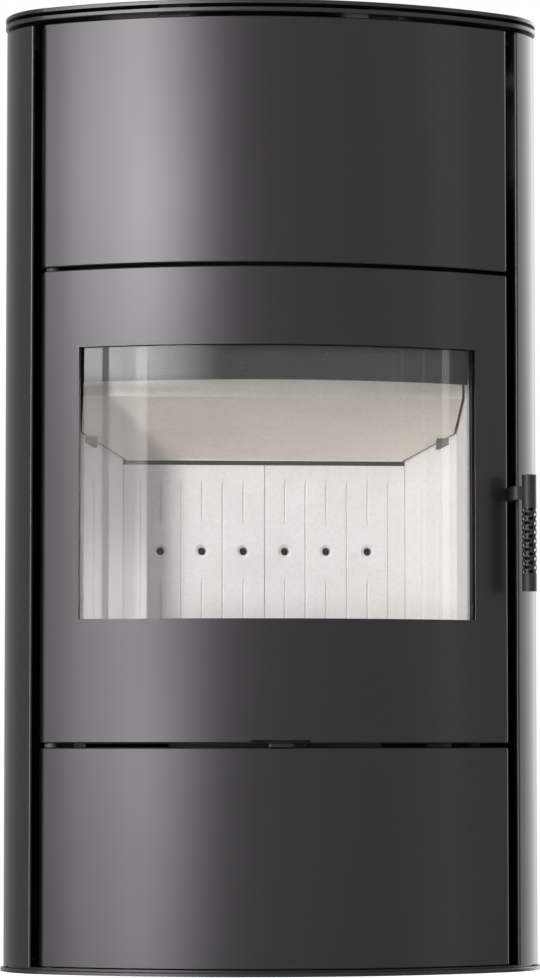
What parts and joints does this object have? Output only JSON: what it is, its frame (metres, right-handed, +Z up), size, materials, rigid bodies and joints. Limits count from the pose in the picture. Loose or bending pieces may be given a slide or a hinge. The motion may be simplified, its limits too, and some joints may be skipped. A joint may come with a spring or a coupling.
{
  "type": "wood stove",
  "caption": "Tall freestanding steel wood stove: bowed black front panels, wide curved glass fire door, lower door, tapered sides, shadow-gap top with flue socket.",
  "frame": {"origin": "on the floor at the middle of the base plate", "axes": "+X to the viewer's right when facing the glass, +Y from the front to the back, +Z up; the bowed front faces -Y"},
  "size_m": [0.5458, 0.391, 0.978],
  "materials": {
    "satin_steel": "satin black stove paint on sheet steel",
    "matt_steel": "matt heat-resistant black paint",
    "firebox_steel": "matt dark grey primer, hot rolled steel",
    "bare_steel": "turned bright steel",
    "zinc_steel": "zinc plated",
    "dark_steel": "oiled dark steel",
    "fire_brick": "pressed vermiculite, dry and grainy",
    "baffle_board": "pressed vermiculite, beige",
    "cast_iron": "sand cast, matt",
    "glass": "clear ceramic glass",
    "rope": "woven glass fibre",
    "magnet": "moulded"
  },
  "bodies": {
    "stove": {"base_plate": "satin_steel", "side_panel_right": "satin_steel", "side_panel_left": "satin_steel", "rear_panel": "satin_steel", "rear_rails": "zinc_steel", "rear_screws": "zinc_steel", "upper_front_panel": "satin_steel", "panel_hangers": "zinc_steel", "plate_spacers": "matt_steel", "rim_plate": "satin_steel", "top_plate": "satin_steel", "flue_collar": "firebox_steel", "firebox_front": "firebox_steel", "firebox_right": "firebox_steel", "firebox_left": "firebox_steel", "firebox_back": "firebox_steel", "firebox_bottom": "firebox_steel", "firebox_floor": "firebox_steel", "firebox_top": "firebox_steel", "window_air_duct": "firebox_steel", "window_air_strip": "dark_steel", "back_air_channel": "firebox_steel", "back_brick_right": "fire_brick", "back_brick_left": "fire_brick", "side_brick_right": "fire_brick", "side_brick_left": "fire_brick", "floor_bricks": "fire_brick", "baffle": "baffle_board", "baffle_rest": "firebox_steel", "baffle_tabs": "zinc_steel", "upper_baffle": "firebox_steel", "grate": "cast_iron", "ash_pan": "matt_steel", "store_liner": "matt_steel", "valve_duct": "zinc_steel", "rear_air_duct": "zinc_steel", "air_intake": "zinc_steel", "slide_guides": "firebox_steel", "magnet_catch": "magnet", "latch_keeper": "bare_steel", "hinge_brackets": "firebox_steel", "hinge_pins": "bare_steel"},
    "air_control": {"air_slide": "dark_steel"},
    "fire_door": {"door_panel": "satin_steel", "door_inner_frame": "matt_steel", "door_glass": "glass", "glass_gasket": "rope", "glass_clips": "bare_steel", "clip_screws": "zinc_steel", "door_rope": "rope", "door_bushes": "dark_steel"},
    "handle": {"latch_and_shaft": "bare_steel", "handle_arm": "matt_steel", "handle_grip": "matt_steel", "grip_caps": "matt_steel"},
    "lower_door": {"lower_door_panel": "satin_steel", "lower_door_bushes": "dark_steel", "lower_door_striker": "bare_steel"}
  },
  "joints": [
    {"name": "door_hinge", "type": "hinge", "parent": "stove", "child": "fire_door", "pos_m": [-0.2235, -0.11953, 0.463], "axis": [0, 0, -1], "range_deg": [0, 105]},
    {"name": "handle_lift", "type": "hinge", "parent": "fire_door", "child": "handle", "pos_m": [0.2265, -0.11183, 0.4772], "axis": [-1, 0, 0], "range_deg": [0, 35]},
    {"name": "lower_door_hinge", "type": "hinge", "parent": "stove", "child": "lower_door", "pos_m": [-0.2235, -0.11953, 0.115], "axis": [0, 0, -1], "range_deg": [0, 100]},
    {"name": "air_lever", "type": "slide", "parent": "stove", "child": "air_control", "axis": [1, 0, 0], "range_m": [-0.015, 0.015]}
  ]
}
